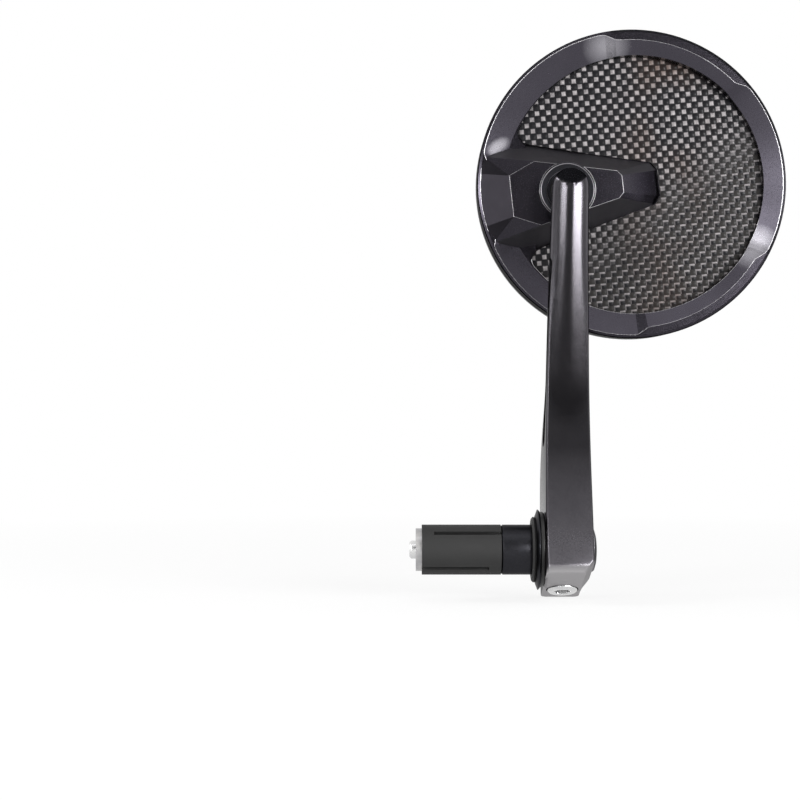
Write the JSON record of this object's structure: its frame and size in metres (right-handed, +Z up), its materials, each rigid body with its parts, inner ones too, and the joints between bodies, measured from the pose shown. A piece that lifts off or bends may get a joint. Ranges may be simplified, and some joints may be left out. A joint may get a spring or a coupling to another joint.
{
  "type": "motorcycle bar end mirror",
  "caption": "Round bar end mirror: lobed metal shell with a carbon inlay, ball joint, swept arm clamped to an expanding bar plug.",
  "frame": {"origin": "on the handlebar's axis, at the end face of the bar", "axes": "+X outboard along the bar, +Z up, +Y towards the rider, so the glass faces +Y and the shell's back faces -Y"},
  "size_m": [0.1326, 0.0734, 0.1965],
  "materials": {
    "black_metal": "satin black anodised",
    "arm_black": "fine blasted black anodised",
    "shell_black": "satin black anodised with worn bright edges",
    "carbon": "plain weave carbon under clear gloss resin",
    "mirror": "silvered glass",
    "rubber": "matte black rubber",
    "dark_plastic": "smooth black nylon",
    "steel": "bright stainless steel",
    "zinc": "zinc plated steel"
  },
  "bodies": {
    "bar_mount": {"mount_stub": "black_metal", "rubber_washer": "rubber", "friction_washer": "dark_plastic", "bar_bolt": "steel", "bolt_washer": "zinc", "outer_cone": "zinc", "expander_sleeve": "rubber", "inner_cone": "zinc"},
    "arm": {"arm": "arm_black", "pinch_screw": "steel", "end_cap": "dark_plastic", "ball_stud": "steel", "stud_lock_washer": "zinc"},
    "liner": {"ball_liner": "dark_plastic"},
    "seat": {"socket_seat": "black_metal"},
    "head": {"head_shell": "shell_black", "weave_panel": "carbon", "retaining_ring": "black_metal", "thrust_disc": "steel", "wave_washer": "steel", "backing_pad": "rubber", "mirror_glass": "mirror", "glass_gasket": "rubber", "glass_bezel": "shell_black"}
  },
  "joints": [
    {"name": "arm_swing", "type": "hinge", "parent": "bar_mount", "child": "arm", "pos_m": [0, 0, 0], "axis": [1, 0, 0], "continuous": true},
    {"name": "head_pan", "type": "hinge", "parent": "arm", "child": "liner", "pos_m": [0.01525, 0.04256, 0.1228], "axis": [0, 0, 1], "range_deg": [-12, 12]},
    {"name": "head_tilt", "type": "hinge", "parent": "liner", "child": "seat", "pos_m": [0.01525, 0.04256, 0.1228], "axis": [1, 0, 0], "range_deg": [-12, 12]},
    {"name": "head_roll", "type": "hinge", "parent": "seat", "child": "head", "pos_m": [0.01525, 0.04256, 0.1228], "axis": [0, 1, 0], "range_deg": [-30, 30]}
  ]
}
